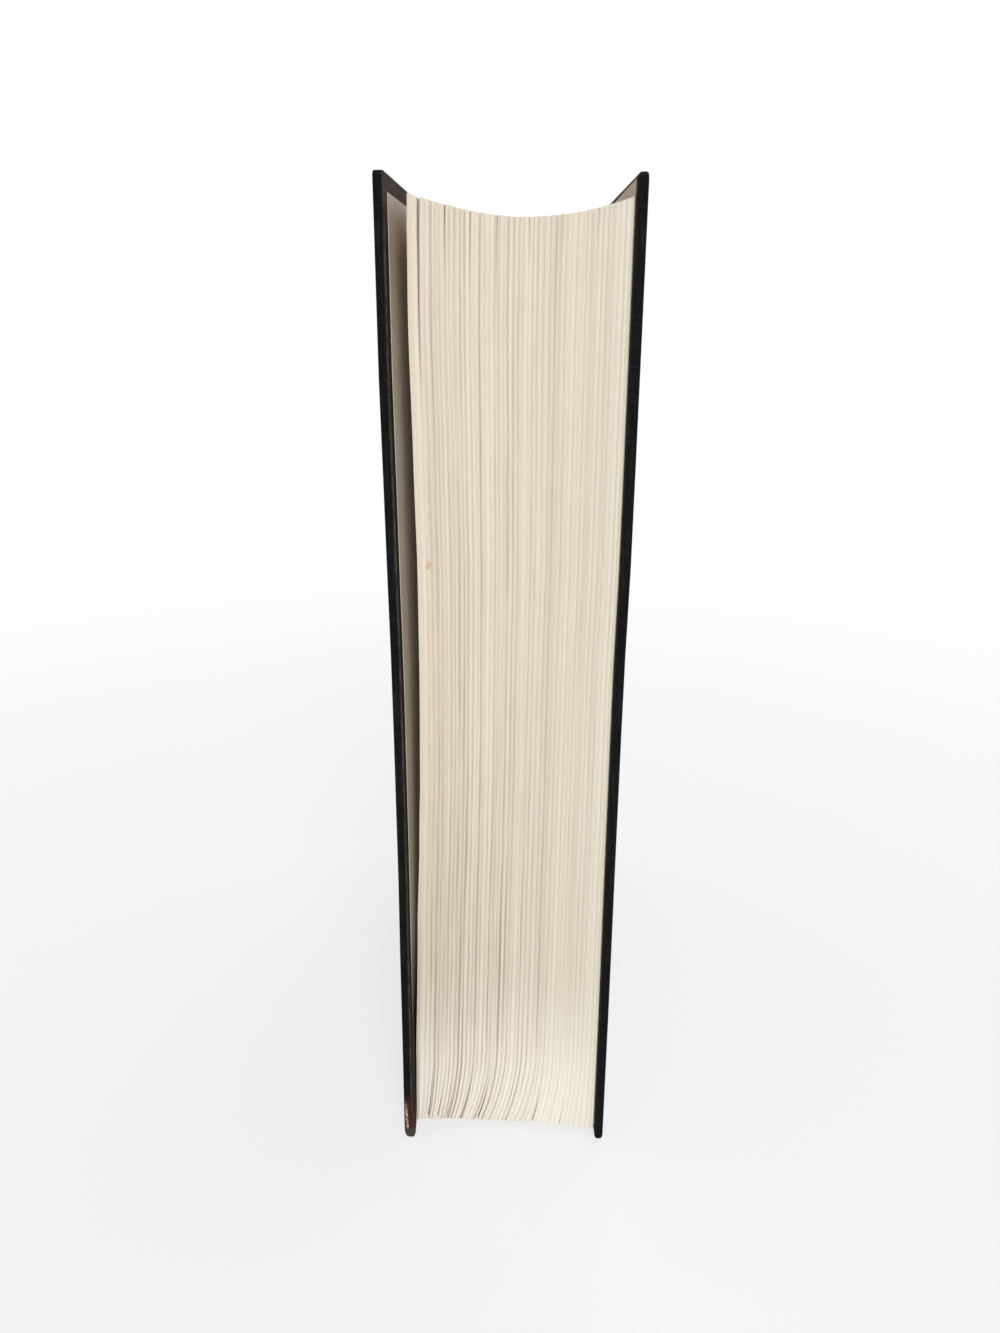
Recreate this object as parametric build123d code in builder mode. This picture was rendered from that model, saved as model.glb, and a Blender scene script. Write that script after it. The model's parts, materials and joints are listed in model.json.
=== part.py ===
from build123d import *
import os
from math import asin, cos, degrees, radians, sin, tan

# A thick hardcover book that stands upright on its tail, with its front cover ajar.
# Origin at the middle of the foot of its bounding box, +Z up to the head, the fore-edge
# to -Y, the front cover at -X and the back cover at +X. All lengths are millimetres.

# The whole book
cover_height = 241.0
cover_width = 144.5
ajar_angle = 2.5

# Sheets and boards
board_thickness = 2.0
cloth_thickness = 0.15
paper_thickness = 0.12
turn_in = 15.0
endpaper_clearance = 0.15

# Squares, by which the covers stand out past the leaves
end_square = 3.2
fore_square = 4.0

# Leaves
leaves_thickness = 42.2
spine_round = 6.0
shoulder_setback = 1.6
front_fan = 3.2
tail_bulge = 2.9
tail_bulge_height = 110.0
hollow_at_head = 5.0
hollow_at_tail = 1.0

# How far the leaves have sunk at the fore-edge, and how high their tail is there
head_sag_front = 0.6
head_sag_middle = 4.4
head_sag_back = 1.2
tail_lift_front = 2.4
tail_lift_middle = 0.9
tail_lift_back = 0.1

# Covers
hinge_gap = 9.0
board_edge_radius = 0.6
board_corner_radius = 1.5

# Spine
gauze_thickness = 0.2
gauze_end_margin = 14.0
lining_thickness = 0.3
lining_end_margin = 1.0
hollow_clearance = 0.2
inlay_thickness = 0.8
spine_overhang = 1.9
groove_clearance = 0.1
groove_rise_length = 4.5

# Head and tail bands
band_bead = 2.0
band_rise = 1.5
band_chamfer = 0.6
band_tape_height = 10.0

# Cuts run past the solids by this much
overrun = 3.0

# Levels of the cover's layers, out from the hinge axis
pastedown_level = endpaper_clearance / 2
turn_in_level = pastedown_level + paper_thickness
board_level = turn_in_level + cloth_thickness
board_outer_level = board_level + board_thickness
cover_outer_level = board_outer_level + cloth_thickness

# Plan of the book: the back cover lies against the leaves, and the front one is ajar
ajar = radians(ajar_angle)
cover_reach = hinge_gap + cover_width
half_leaves = leaves_thickness / 2
half_bound = half_leaves + paper_thickness + endpaper_clearance / 2
front_outer = half_bound + cover_reach * sin(ajar) + cover_outer_level * cos(ajar)
back_outer = half_bound + cover_outer_level
spine_x = (front_outer - back_outer) / 2
front_axis_x = spine_x - half_bound
back_axis_x = spine_x + half_bound

# The spine's layers are rings about one upright centre line
block_radius = (half_leaves**2 + spine_round**2) / (2 * spine_round)
gauze_radius = block_radius + gauze_thickness
lining_radius = gauze_radius + lining_thickness
case_inner_radius = lining_radius + hollow_clearance
inlay_inner_radius = case_inner_radius + cloth_thickness
inlay_outer_radius = inlay_inner_radius + inlay_thickness
spine_radius = inlay_outer_radius + cloth_thickness
block_half_angle = degrees(asin(half_leaves / block_radius))
spine_half_angle = degrees(asin((half_leaves + spine_overhang) / spine_radius))
inlay_half_angle = spine_half_angle - degrees(cloth_thickness / spine_radius)
spine_depth = shoulder_setback + spine_round + spine_radius - block_radius
axis_y = (cover_reach - spine_depth) / 2
shoulder_y = axis_y + shoulder_setback
centre_y = shoulder_y + spine_round - block_radius
leaves_fore_y = axis_y - cover_reach + fore_square
spine_centre = (spine_x, centre_y)

# Hinge planes: x runs along the cover to its fore-edge, and its layers lie along y,
# which points out of the book on the back cover and into it on the front one
front_hinge = Plane(
    origin=(front_axis_x, axis_y, 0), x_dir=(-sin(ajar), -cos(ajar), 0), z_dir=(0, 0, 1)
)
back_hinge = Plane(origin=(back_axis_x, axis_y, 0), x_dir=(0, -1, 0), z_dir=(0, 0, 1))
front_out = -1
back_out = 1

# Edges of the leaves, and the heights between which they are straight
shoulder_left_x = spine_x - half_leaves
shoulder_right_x = spine_x + half_leaves
bulge_step_shares = (0, 0.2, 0.4, 0.6, 0.8, 1)
section_levels = [tail_bulge_height * share for share in bulge_step_shares]
section_levels.append(cover_height)


def front_edge_x(height):
    """X of the first leaf's fore-edge: straight above, bulging out near the tail."""
    low_share = max(0, 1 - height / tail_bulge_height)
    return shoulder_left_x - front_fan - tail_bulge * low_share**2


def back_edge_x(height):
    """X of the last leaf's fore-edge, the same at every height."""
    return shoulder_right_x


def hollow(height):
    """Depth of the leaves' concave fore-edge at a height."""
    return hollow_at_tail + (hollow_at_head - hollow_at_tail) * height / cover_height


def leaf_sheet(edge_x, shoulder_x, outward, depth):
    """A leaf in flat facets, thickened sideways. It bends along lines from its spine's foot."""
    foot = Vector(shoulder_x, shoulder_y, 0)
    spine_top = Vector(shoulder_x, shoulder_y, cover_height)
    rim = [Vector(edge_x(height), leaves_fore_y, height) for height in section_levels]
    facets = [(foot, low, high) for low, high in zip(rim[:-2], rim[1:-1])]
    facets.append((foot, rim[-2], rim[-1], spine_top))
    with BuildPart() as sheet:
        for corners in facets:
            across = corners[1] - foot
            facet = Plane(origin=foot, x_dir=across, z_dir=across.cross(corners[2] - foot))
            outline = [facet.to_local_coords(corner) for corner in corners]
            with BuildSketch(facet):
                with BuildLine():
                    Polyline(*outline, close=True)
                make_face()
            extrude(amount=depth, dir=(outward, 0, 0))
    return sheet


def leaves_blank():
    """The leaves from the table to the head of the covers, before their ends are shaped."""
    past_last_leaf = leaves_thickness + front_fan + tail_bulge + overrun
    sheet = leaf_sheet(front_edge_x, shoulder_left_x, back_out, past_last_leaf)
    with BuildPart() as blank:
        add(sheet.part)
        split(bisect_by=Plane.YZ.offset(shoulder_right_x), keep=Keep.BOTTOM)
        with BuildSketch():
            with BuildLine():
                Line((shoulder_right_x, shoulder_y), (shoulder_left_x, shoulder_y))
                ThreePointArc(
                    (shoulder_left_x, shoulder_y),
                    (spine_x, shoulder_y + spine_round),
                    (shoulder_right_x, shoulder_y),
                )
            make_face()
        extrude(amount=cover_height)
        for height in (0, cover_height):
            left = front_edge_x(height)
            right = back_edge_x(height)
            middle = ((left + right) / 2, leaves_fore_y + hollow(height))
            with BuildSketch(Plane.XY.offset(height)):
                with BuildLine():
                    ThreePointArc((right, leaves_fore_y), middle, (left, leaves_fore_y))
                    Line((left, leaves_fore_y), (left, leaves_fore_y - overrun))
                    Line((left, leaves_fore_y - overrun), (right, leaves_fore_y - overrun))
                    Line((right, leaves_fore_y - overrun), (right, leaves_fore_y))
                make_face()
        loft(ruled=True, mode=Mode.SUBTRACT)
    return blank


def end_cut(fore_heights, bound_height, past_height):
    """What is cut off the leaves' head or tail, from the fore-edge to past the spine."""
    half = half_leaves + front_fan + tail_bulge + overrun
    left, right = spine_x - half, spine_x + half
    front_height, middle_height, back_height = fore_heights
    with BuildPart() as cut:
        with BuildSketch(Plane.XZ.offset(overrun - leaves_fore_y)):
            with BuildLine():
                ThreePointArc((left, front_height), (0, middle_height), (right, back_height))
                Line((right, back_height), (right, past_height))
                Line((right, past_height), (left, past_height))
                Line((left, past_height), (left, front_height))
            make_face()
        with BuildSketch(Plane.XZ.offset(-axis_y)) as bound_end:
            with BuildLine():
                Line((left, bound_height), (right, bound_height))
                Line((right, bound_height), (right, past_height))
                Line((right, past_height), (left, past_height))
                Line((left, past_height), (left, bound_height))
            make_face()
        loft(ruled=True)
        extrude(bound_end.sketch, amount=-spine_depth - overrun)
    return cut


bound_head = cover_height - end_square
head_cut = end_cut(
    (bound_head - head_sag_front, bound_head - head_sag_middle, bound_head - head_sag_back),
    bound_head,
    cover_height + overrun,
)
tail_cut = end_cut((tail_lift_front, tail_lift_middle, tail_lift_back), end_square, -overrun)


def with_shaped_ends(blank):
    """Leaves with their head and tail cut to shape."""
    with BuildPart() as shaped:
        add(blank.part)
        add(head_cut.part, mode=Mode.SUBTRACT)
        add(tail_cut.part, mode=Mode.SUBTRACT)
    return shaped


text_block = with_shaped_ends(leaves_blank())
front_flyleaf = with_shaped_ends(
    leaf_sheet(front_edge_x, shoulder_left_x, front_out, paper_thickness)
)
back_flyleaf = with_shaped_ends(
    leaf_sheet(back_edge_x, shoulder_right_x, back_out, paper_thickness)
)


def spine_layer(inner_radius, outer_radius, half_angle, bottom, top):
    """An upright strip round the spine, between two radii and two heights."""
    with BuildPart() as layer:
        with BuildSketch(Plane.XY.offset(bottom)):
            with BuildLine():
                outer = CenterArc(spine_centre, outer_radius, 90 - half_angle, 2 * half_angle)
                inner = CenterArc(spine_centre, inner_radius, 90 - half_angle, 2 * half_angle)
                Line(outer @ 0, inner @ 0)
                Line(outer @ 1, inner @ 1)
            make_face()
        extrude(amount=top - bottom)
    return layer


gauze_bottom = end_square + gauze_end_margin
lining_bottom = end_square + lining_end_margin
spine_gauze = spine_layer(
    block_radius, gauze_radius, block_half_angle, gauze_bottom, cover_height - gauze_bottom
)
spine_lining = spine_layer(
    gauze_radius, lining_radius, block_half_angle, lining_bottom, cover_height - lining_bottom
)
spine_inlay = spine_layer(
    inlay_inner_radius,
    inlay_outer_radius,
    inlay_half_angle,
    cloth_thickness,
    cover_height - cloth_thickness,
)

# The spine's cloth wraps the inlay and turns in over its head and tail
spine_wrap = spine_layer(case_inner_radius, spine_radius, spine_half_angle, 0, cover_height)
spine_window = spine_layer(
    case_inner_radius - overrun,
    inlay_inner_radius,
    inlay_half_angle,
    turn_in,
    cover_height - turn_in,
)
with BuildPart() as spine_cloth:
    add(spine_wrap.part)
    add(spine_inlay.part, mode=Mode.SUBTRACT)
    add(spine_window.part, mode=Mode.SUBTRACT)


def end_band(bound_height, up):
    """A bead on the head or tail of the leaves, with a tape glued down their spine."""
    start = radians(90 - block_half_angle)
    section = Plane(
        origin=(spine_x, centre_y, bound_height),
        x_dir=(cos(start), sin(start), 0),
        z_dir=(sin(start), -cos(start), 0),
    )
    bead_inner = block_radius - band_bead
    side_height = up * (band_rise - band_chamfer)
    tape_height = -up * band_tape_height
    with BuildPart() as band:
        with BuildSketch(section):
            with BuildLine():
                Polyline(
                    (bead_inner, 0),
                    (bead_inner, side_height),
                    (bead_inner + band_chamfer, up * band_rise),
                    (gauze_radius - band_chamfer, up * band_rise),
                    (gauze_radius, side_height),
                    (gauze_radius, tape_height),
                    (block_radius, tape_height),
                    (block_radius, 0),
                    close=True,
                )
            make_face()
        revolve(
            axis=Axis((spine_x, centre_y, 0), (0, 0, 1)), revolution_arc=2 * block_half_angle
        )
    return band


headband = end_band(bound_head, 1)
tailband = end_band(end_square, -1)


def cover_plate(hinge, out, near, far, inner_level, outer_level, end_inset):
    """A flat plate of a cover, from near to far along it and between two layer levels."""
    with BuildPart() as plate:
        with BuildSketch(hinge.offset(end_inset)):
            with Locations(((near + far) / 2, out * (inner_level + outer_level) / 2)):
                Rectangle(far - near, outer_level - inner_level)
        extrude(amount=cover_height - 2 * end_inset)
    return plate


def rounded_plate(hinge, out, inset, inner_level, outer_level):
    """A cover's board, or the shape of its cloth, rounded at its three free edges."""
    along = Axis(hinge.origin, hinge.x_dir)
    through = Axis(hinge.origin, hinge.y_dir)
    growth = cloth_thickness - inset
    blank = cover_plate(hinge, out, hinge_gap, cover_reach - inset, inner_level, outer_level, inset)
    with BuildPart() as plate:
        add(blank.part)
        corners = plate.edges().filter_by(through).sort_by(along)[-2:]
        fillet(corners, board_corner_radius + growth)
        broad_faces = plate.faces().sort_by(through)
        rim = broad_faces[0].edges() + broad_faces[-1].edges()
        joint_edges = plate.faces().sort_by(along)[0].edges()
        fillet(rim - joint_edges, board_edge_radius + growth)
    return plate


def cover_board(hinge, out):
    """The greyboard of a cover."""
    return rounded_plate(hinge, out, cloth_thickness, board_level, board_outer_level)


def cover_cloth(hinge, out, board):
    """The cloth over a cover's outside and edges, turned in at head, tail and fore-edge."""
    shape = rounded_plate(hinge, out, 0, turn_in_level, cover_outer_level)
    window_near = hinge_gap - overrun
    window_far = cover_reach - turn_in
    window_level = turn_in_level - overrun
    window = cover_plate(hinge, out, window_near, window_far, window_level, board_level, turn_in)
    with BuildPart() as cloth:
        add(shape.part)
        add(board.part, mode=Mode.SUBTRACT)
        add(window.part, mode=Mode.SUBTRACT)
    return cloth


def pastedown(hinge, out, cloth):
    """The endpaper glued inside a cover: it lies over the turn-ins and sinks between them."""
    sheet_far = cover_reach - fore_square
    sheet = cover_plate(hinge, out, hinge_gap, sheet_far, pastedown_level, board_level, end_square)
    sunk_near = hinge_gap - overrun
    sunk_far = cover_reach - turn_in - paper_thickness
    sunk_top = board_level - paper_thickness
    sunk_inset = turn_in + paper_thickness
    sunk_level = pastedown_level - overrun
    sunk = cover_plate(hinge, out, sunk_near, sunk_far, sunk_level, sunk_top, sunk_inset)
    with BuildPart() as paper:
        add(sheet.part)
        add(cloth.part, mode=Mode.SUBTRACT)
        add(sunk.part, mode=Mode.SUBTRACT)
    return paper


# Joints, where the case's cloth and the endpaper cross from the spine to a cover
def joint_cloth(hinge, out):
    """The cloth from the edge of the spine down into the groove and up on to the board."""
    edge_angle = spine_half_angle - degrees(cloth_thickness / 2 / case_inner_radius)
    edge = radians(90 - out * edge_angle)
    inward = Vector(-cos(edge), -sin(edge), 0)
    spine_edge = hinge.to_local_coords(Vector(spine_x, centre_y, 0) - inward * case_inner_radius)
    heading = Vector(inward.dot(hinge.x_dir), inward.dot(hinge.y_dir), 0)
    bend = radians(hinge.x_dir.get_angle(inward))
    groove_level = board_level + groove_clearance + cloth_thickness / 2
    top_level = cover_outer_level - cloth_thickness / 2
    drop = out * spine_edge.Y - groove_level
    foot = Vector(spine_edge.X + drop / tan(bend / 2), out * groove_level, 0)
    rise = Vector(hinge_gap - groove_rise_length, out * groove_level, 0)
    board_edge = Vector(hinge_gap, out * top_level, 0)
    with BuildPart() as strip:
        with BuildSketch(hinge):
            with BuildLine():
                TangentArc(spine_edge, foot, tangent=heading)
                Line(foot, rise)
                lower_bend = TangentArc(rise, (rise + board_edge) / 2, tangent=(1, 0))
                TangentArc(lower_bend @ 1, board_edge, tangent=lower_bend % 1)
            trace(line_width=cloth_thickness)
        extrude(amount=cover_height)
    return strip


def endpaper_fold(hinge, out):
    """The endpaper between its pastedown and the edge of the spine, where it folds back."""
    fold = Vector(-shoulder_setback, out * (pastedown_level + paper_thickness / 2), 0)
    board_edge = Vector(hinge_gap, out * (board_level - paper_thickness / 2), 0)
    with BuildPart() as strip:
        with BuildSketch(hinge.offset(end_square)):
            with BuildLine():
                lower_bend = TangentArc(fold, (fold + board_edge) / 2, tangent=(1, 0))
                TangentArc(lower_bend @ 1, board_edge, tangent=lower_bend % 1)
            trace(line_width=paper_thickness)
        extrude(amount=cover_height - 2 * end_square)
    return strip


front_board = cover_board(front_hinge, front_out)
front_cover_cloth = cover_cloth(front_hinge, front_out, front_board)
front_pastedown = pastedown(front_hinge, front_out, front_cover_cloth)
front_joint_cloth = joint_cloth(front_hinge, front_out)
front_endpaper_fold = endpaper_fold(front_hinge, front_out)

back_board = cover_board(back_hinge, back_out)
back_cover_cloth = cover_cloth(back_hinge, back_out, back_board)
back_pastedown = pastedown(back_hinge, back_out, back_cover_cloth)
back_joint_cloth = joint_cloth(back_hinge, back_out)
back_endpaper_fold = endpaper_fold(back_hinge, back_out)

# Each piece of the book under its own name
pieces = {
    "text_block": text_block,
    "front_flyleaf": front_flyleaf,
    "back_flyleaf": back_flyleaf,
    "spine_gauze": spine_gauze,
    "spine_lining": spine_lining,
    "spine_inlay": spine_inlay,
    "spine_cloth": spine_cloth,
    "headband": headband,
    "tailband": tailband,
    "front_board": front_board,
    "front_cover_cloth": front_cover_cloth,
    "front_pastedown": front_pastedown,
    "front_joint_cloth": front_joint_cloth,
    "front_endpaper_fold": front_endpaper_fold,
    "back_board": back_board,
    "back_cover_cloth": back_cover_cloth,
    "back_pastedown": back_pastedown,
    "back_joint_cloth": back_joint_cloth,
    "back_endpaper_fold": back_endpaper_fold,
}
os.makedirs("parts", exist_ok=True)
for name, piece in pieces.items():
    piece.part.label = name
    export_step(piece.part, f"parts/{name}.step")
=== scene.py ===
# %% [markdown]
# # A thick hardcover book, standing on its tail
#
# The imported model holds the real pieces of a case-bound book: the leaves, the endpapers, the boards in
# their cloth, and the linings of the spine. It could be rendered as it is, but its leaves are one plain
# solid. So this lesson loads it as a frame that nothing may move, and then dresses each piece.

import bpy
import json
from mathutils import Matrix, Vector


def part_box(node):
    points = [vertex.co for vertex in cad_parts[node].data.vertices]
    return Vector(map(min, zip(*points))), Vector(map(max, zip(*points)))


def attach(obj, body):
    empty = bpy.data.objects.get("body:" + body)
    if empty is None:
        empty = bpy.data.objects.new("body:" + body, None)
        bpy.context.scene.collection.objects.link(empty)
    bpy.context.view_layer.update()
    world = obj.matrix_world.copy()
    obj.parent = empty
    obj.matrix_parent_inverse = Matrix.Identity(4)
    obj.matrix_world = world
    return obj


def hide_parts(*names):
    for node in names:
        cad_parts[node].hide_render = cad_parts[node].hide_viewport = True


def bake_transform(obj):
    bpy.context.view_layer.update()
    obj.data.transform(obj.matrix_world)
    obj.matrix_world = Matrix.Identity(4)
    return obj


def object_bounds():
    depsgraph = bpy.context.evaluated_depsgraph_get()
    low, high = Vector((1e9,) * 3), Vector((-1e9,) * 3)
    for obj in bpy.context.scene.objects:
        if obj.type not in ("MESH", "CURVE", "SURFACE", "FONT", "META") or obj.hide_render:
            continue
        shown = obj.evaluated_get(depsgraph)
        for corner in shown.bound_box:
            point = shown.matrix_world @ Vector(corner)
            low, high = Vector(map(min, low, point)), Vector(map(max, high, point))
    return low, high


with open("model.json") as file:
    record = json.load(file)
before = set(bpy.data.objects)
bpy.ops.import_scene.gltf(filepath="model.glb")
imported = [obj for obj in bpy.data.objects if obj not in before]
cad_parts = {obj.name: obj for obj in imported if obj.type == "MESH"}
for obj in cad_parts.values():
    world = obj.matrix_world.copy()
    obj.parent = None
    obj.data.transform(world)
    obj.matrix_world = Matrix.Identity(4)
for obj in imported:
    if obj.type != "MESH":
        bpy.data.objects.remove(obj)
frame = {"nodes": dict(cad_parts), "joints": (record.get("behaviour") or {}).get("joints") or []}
cad_low, cad_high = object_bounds()
print("nodes of the frame:", sorted(frame["nodes"]))

# %% Modules and the unit of length
import json
import random
from collections import namedtuple
from math import cos, exp, pi, radians, sin

import bmesh
import bpy
from mathutils import Matrix, Vector

mm = 0.001
scene = bpy.context.scene
print("the book measures", [round(side / mm, 1) for side in cad_high - cad_low], "mm")

# %% [markdown]
# ## The camera
#
# The photograph was taken from close by, a little below the head of the book, and it looks about 19
# degrees down, so the upright book narrows towards its tail. The camera could be placed by eye, but the
# lines of the covers meet in one point far below the picture, and that point gives the tilt and the lens.

# %% Place the camera
camera_place = Vector((-2.15, -298.85, 213.0)) * mm
camera_tilt = radians(19.1)
camera_roll = radians(0.24)
camera_turn = radians(-0.073)
camera_lens = 27.0

camera_data = bpy.data.cameras.new("Camera")
camera_data.lens = camera_lens
camera_data.sensor_width = 36.0
camera_data.clip_start = 10 * mm
camera_data.clip_end = 20.0
camera = bpy.data.objects.new("Camera", camera_data)
turn = Matrix.Rotation(camera_turn, 4, "Z")
turn @= Matrix.Rotation(pi / 2 - camera_tilt, 4, "X") @ Matrix.Rotation(camera_roll, 4, "Z")
camera.matrix_world = Matrix.Translation(camera_place) @ turn
scene.collection.objects.link(camera)
scene.camera = camera
print("the camera stands", round((cad_low.y - camera_place.y) / mm), "mm before the fore-edge")

# %% [markdown]
# ## Helpers for shader nodes
#
# A material is a small network of nodes. Written out, each node takes four lines, so these helpers make
# one in a call. An input is a plain value or another node's output.

# %% Helpers that build node networks
def fill(socket, value):
    """Links an output to a socket, or sets a plain value on it."""
    if isinstance(value, bpy.types.NodeSocket):
        socket.id_data.links.new(value, socket)
    else:
        socket.default_value = value


def node(tree, kind, inputs=None, **settings):
    """Adds one shader node, sets its options, and fills its inputs."""
    made = tree.nodes.new("ShaderNode" + kind)
    for option, value in settings.items():
        setattr(made, option, value)
    for socket, value in (inputs or {}).items():
        fill(made.inputs[socket], value)
    return made


def tree_of(*values):
    """The tree of the first value that is a node's output."""
    return next(value.id_data for value in values if isinstance(value, bpy.types.NodeSocket))


def math(operation, first, second=0.0, clamp=False):
    """The result of one sum."""
    made = node(tree_of(first, second), "Math", {0: first, 1: second}, operation=operation,
                use_clamp=clamp)
    return made.outputs[0]


def times(product, *factors):
    """The product of several values."""
    for factor in factors:
        product = math("MULTIPLY", product, factor)
    return product


def plus(first, second):
    """The sum of two values."""
    return math("ADD", first, second)


def joined(first, second):
    """A vector of two values."""
    return node(tree_of(first), "CombineXYZ", {0: first, 1: second}).outputs[0]


def noise(vector, scale, detail=2.0, roughness=0.6):
    """Smooth noise between 0 and 1."""
    inputs = {"Vector": vector, "Scale": scale, "Detail": detail, "Roughness": roughness}
    return node(tree_of(vector), "TexNoise", inputs).outputs[0]


def spread(value, low, high, to_low=0.0, to_high=1.0, smooth=False):
    """A value carried from one range to another, and held at its ends."""
    kind = "SMOOTHSTEP" if smooth else "LINEAR"
    inputs = {0: value, 1: low, 2: high, 3: to_low, 4: to_high}
    return node(tree_of(value), "MapRange", inputs, interpolation_type=kind).outputs[0]


def carried(tree, name, kind="Fac"):
    """What each vertex carries under a name."""
    return node(tree, "Attribute", attribute_name=name).outputs[kind]


def object_place(tree):
    """Where a point is in the book's own frame."""
    return node(tree, "TexCoord").outputs["Object"]


def parts_of(vector):
    """The three parts of a vector."""
    return node(tree_of(vector), "SeparateXYZ", {0: vector}).outputs


def length_of(vector):
    """The length of a vector."""
    return node(tree_of(vector), "VectorMath", {0: vector}, operation="LENGTH").outputs["Value"]


def colour(red, green, blue):
    """A colour as a picture program shows it, 0 to 255, made linear for the shader."""
    parts = [part / 255 for part in (red, green, blue)]
    return tuple(p / 12.92 if p < 0.04045 else ((p + 0.055) / 1.055) ** 2.4 for p in parts) + (1.0,)


def blend_colour(factor, first, second):
    """One colour laid over another by a factor."""
    inputs = {0: factor, 6: first, 7: second}
    return node(tree_of(factor), "Mix", inputs, data_type="RGBA").outputs[2]


def coats(tint, *layers):
    """Lays colours over a first one in turn, each by its own factor."""
    for factor, coat in layers:
        tint = blend_colour(factor, tint, colour(*coat))
    return tint


def new_material(name):
    """An empty material with its surface shader, ready for the network."""
    material = bpy.data.materials.new(name)
    material.use_nodes = True
    tree = material.node_tree
    tree.nodes.clear()
    surface = node(tree, "BsdfPrincipled")
    node(tree, "OutputMaterial", {0: surface.outputs[0]})
    return material, tree, surface


def set_surface(surface, tint, roughness, gloss=0.5, relief=None, strength=0.3, depth=0.1 * mm):
    """Gives the shader its colour, roughness and gloss, and a relief where there is one."""
    inputs = {"Base Color": tint, "Roughness": roughness, "Specular IOR Level": gloss}
    if relief is not None:
        heights = {"Strength": strength, "Distance": depth, "Height": relief}
        inputs["Normal"] = node(surface.id_data, "Bump", heights).outputs[0]
    for socket, value in inputs.items():
        fill(surface.inputs[socket], value)


print("white paper in linear light:", [round(part, 2) for part in colour(240, 226, 208)[:3]])

# %% [markdown]
# ## Stage and light
#
# The book stands on a pale floor that keeps its shadow. Stronger lamps would make a white background,
# but would bleach the paper. So the floor's shader fades to plain white with distance, for what the
# camera or a reflection sees of it.

# %% Floor
white = (1.0, 1.0, 1.0, 1.0)
floor_grey = (0.9, 0.9, 0.9, 1.0)
white_by_the_book = 0.7


def seen_directly(tree):
    """1 for what the camera, a reflection or glass sees, and 0 for light that falls on things."""
    rays = node(tree, "LightPath").outputs
    seen = math("MAXIMUM", rays["Is Camera Ray"], rays["Is Glossy Ray"])
    return math("MAXIMUM", seen, rays["Is Transmission Ray"])


def stage_floor(size, near, far):
    """A pale floor whose colour fades to pure white between two distances from the book."""
    mesh = bpy.data.meshes.new("floor")
    shape = bmesh.new()
    bmesh.ops.create_grid(shape, x_segments=1, y_segments=1, size=size)
    shape.to_mesh(mesh)
    shape.free()
    floor = bpy.data.objects.new("floor", mesh)
    scene.collection.objects.link(floor)
    material, tree, surface = new_material("pale floor")
    set_surface(surface, floor_grey, 0.9, 0.0)
    distance = length_of(object_place(tree))
    far_off = spread(distance, near, far, white_by_the_book, 1.0, smooth=True)
    glow = node(tree, "Emission", {"Color": white, "Strength": 1.0})
    factor = times(far_off, seen_directly(tree))
    both = node(tree, "MixShader", {0: factor, 1: surface.outputs[0], 2: glow.outputs[0]})
    output = next(n for n in tree.nodes if n.type == "OUTPUT_MATERIAL")
    fill(output.inputs[0], both.outputs[0])
    mesh.materials.append(material)


stage_floor(size=8.0, near=0.12, far=0.7)
print("the floor is white beyond 0.7 m")

# %% World and lamps
sky_light = 0.26

world = bpy.data.worlds.new("studio")
world.use_nodes = True
world.node_tree.nodes.clear()
scene.world = world
sky = world.node_tree
strength = spread(seen_directly(sky), 0.0, 1.0, sky_light, 1.0)
background = node(sky, "Background", {"Color": white, "Strength": strength})
node(sky, "OutputWorld", {"Surface": background.outputs[0]})

book_middle = (cad_low + cad_high) / 2


def soft_lamp(name, place, size, power, tint):
    """A square lamp that looks at the middle of the book."""
    data = bpy.data.lights.new(name, "AREA")
    data.shape = "SQUARE"
    data.size = size
    data.energy = power
    data.color = tint
    lamp = bpy.data.objects.new(name, data)
    lamp.location = place
    lamp.rotation_mode = "QUATERNION"
    lamp.rotation_quaternion = (book_middle - Vector(place)).to_track_quat("-Z", "Y")
    scene.collection.objects.link(lamp)


soft_lamp("key lamp", (0.18, -1.3, 0.95), 0.6, 8.6, (1.0, 0.995, 0.98))
soft_lamp("fill lamp", (0.15, -1.3, 0.32), 0.32, 4.7, (1.0, 0.995, 0.985))
soft_lamp("back lamp", (0.3, 0.95, 0.9), 0.8, 5.5, (1.0, 1.0, 1.0))
for side in (-1, 1):
    soft_lamp("side lamp", (side * 1.2, 0.6, 0.8), 0.8, 3.0, (1.0, 1.0, 1.0))
scene.view_settings.view_transform = "Standard"

# %% [markdown]
# ## What the frame says of the leaves
#
# The leaves are glued at the spine, and free at the fore-edge. They fan out a little to the front, their
# fore-edge is hollow, they sink at the head, and at the tail they swing out where they stand on the
# table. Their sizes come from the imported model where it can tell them.

# %% Sizes of the block of leaves
block_low, block_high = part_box("text_block")
hinge_of = {joint["child"]: joint for joint in frame["joints"]}
front_axis = Vector(hinge_of["front_cover"]["pos_m"])
back_axis = Vector(hinge_of["back_cover"]["pos_m"])

spine_x = (front_axis.x + back_axis.x) / 2
half_leaves = block_high.x - spine_x
fore_y = block_low.y
shoulder_y = front_axis.y + 1.6 * mm
spine_round = block_high.y - shoulder_y
end_square = 3.2 * mm
bound_head = cad_high.z - end_square
paper = 0.12 * mm

front_fan = 3.2 * mm
tail_bulge = 2.9 * mm
tail_bulge_height = 110 * mm
hollow_at_head = 5.0 * mm
hollow_at_tail = 1.0 * mm
last_leaves_forward = 2.2 * mm
print("the leaves are", round(2 * half_leaves / mm, 1), "mm thick at the spine")

# %% [markdown]
# ## The shape of the leaves as functions
#
# A place on the block is told by its leaf, from 0 for the first to 1 for the last, its depth and its
# height, and these functions turn them into a point. One could sculpt the block, but this way each line
# on the fore-edge stays one leaf from head to tail.

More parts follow.
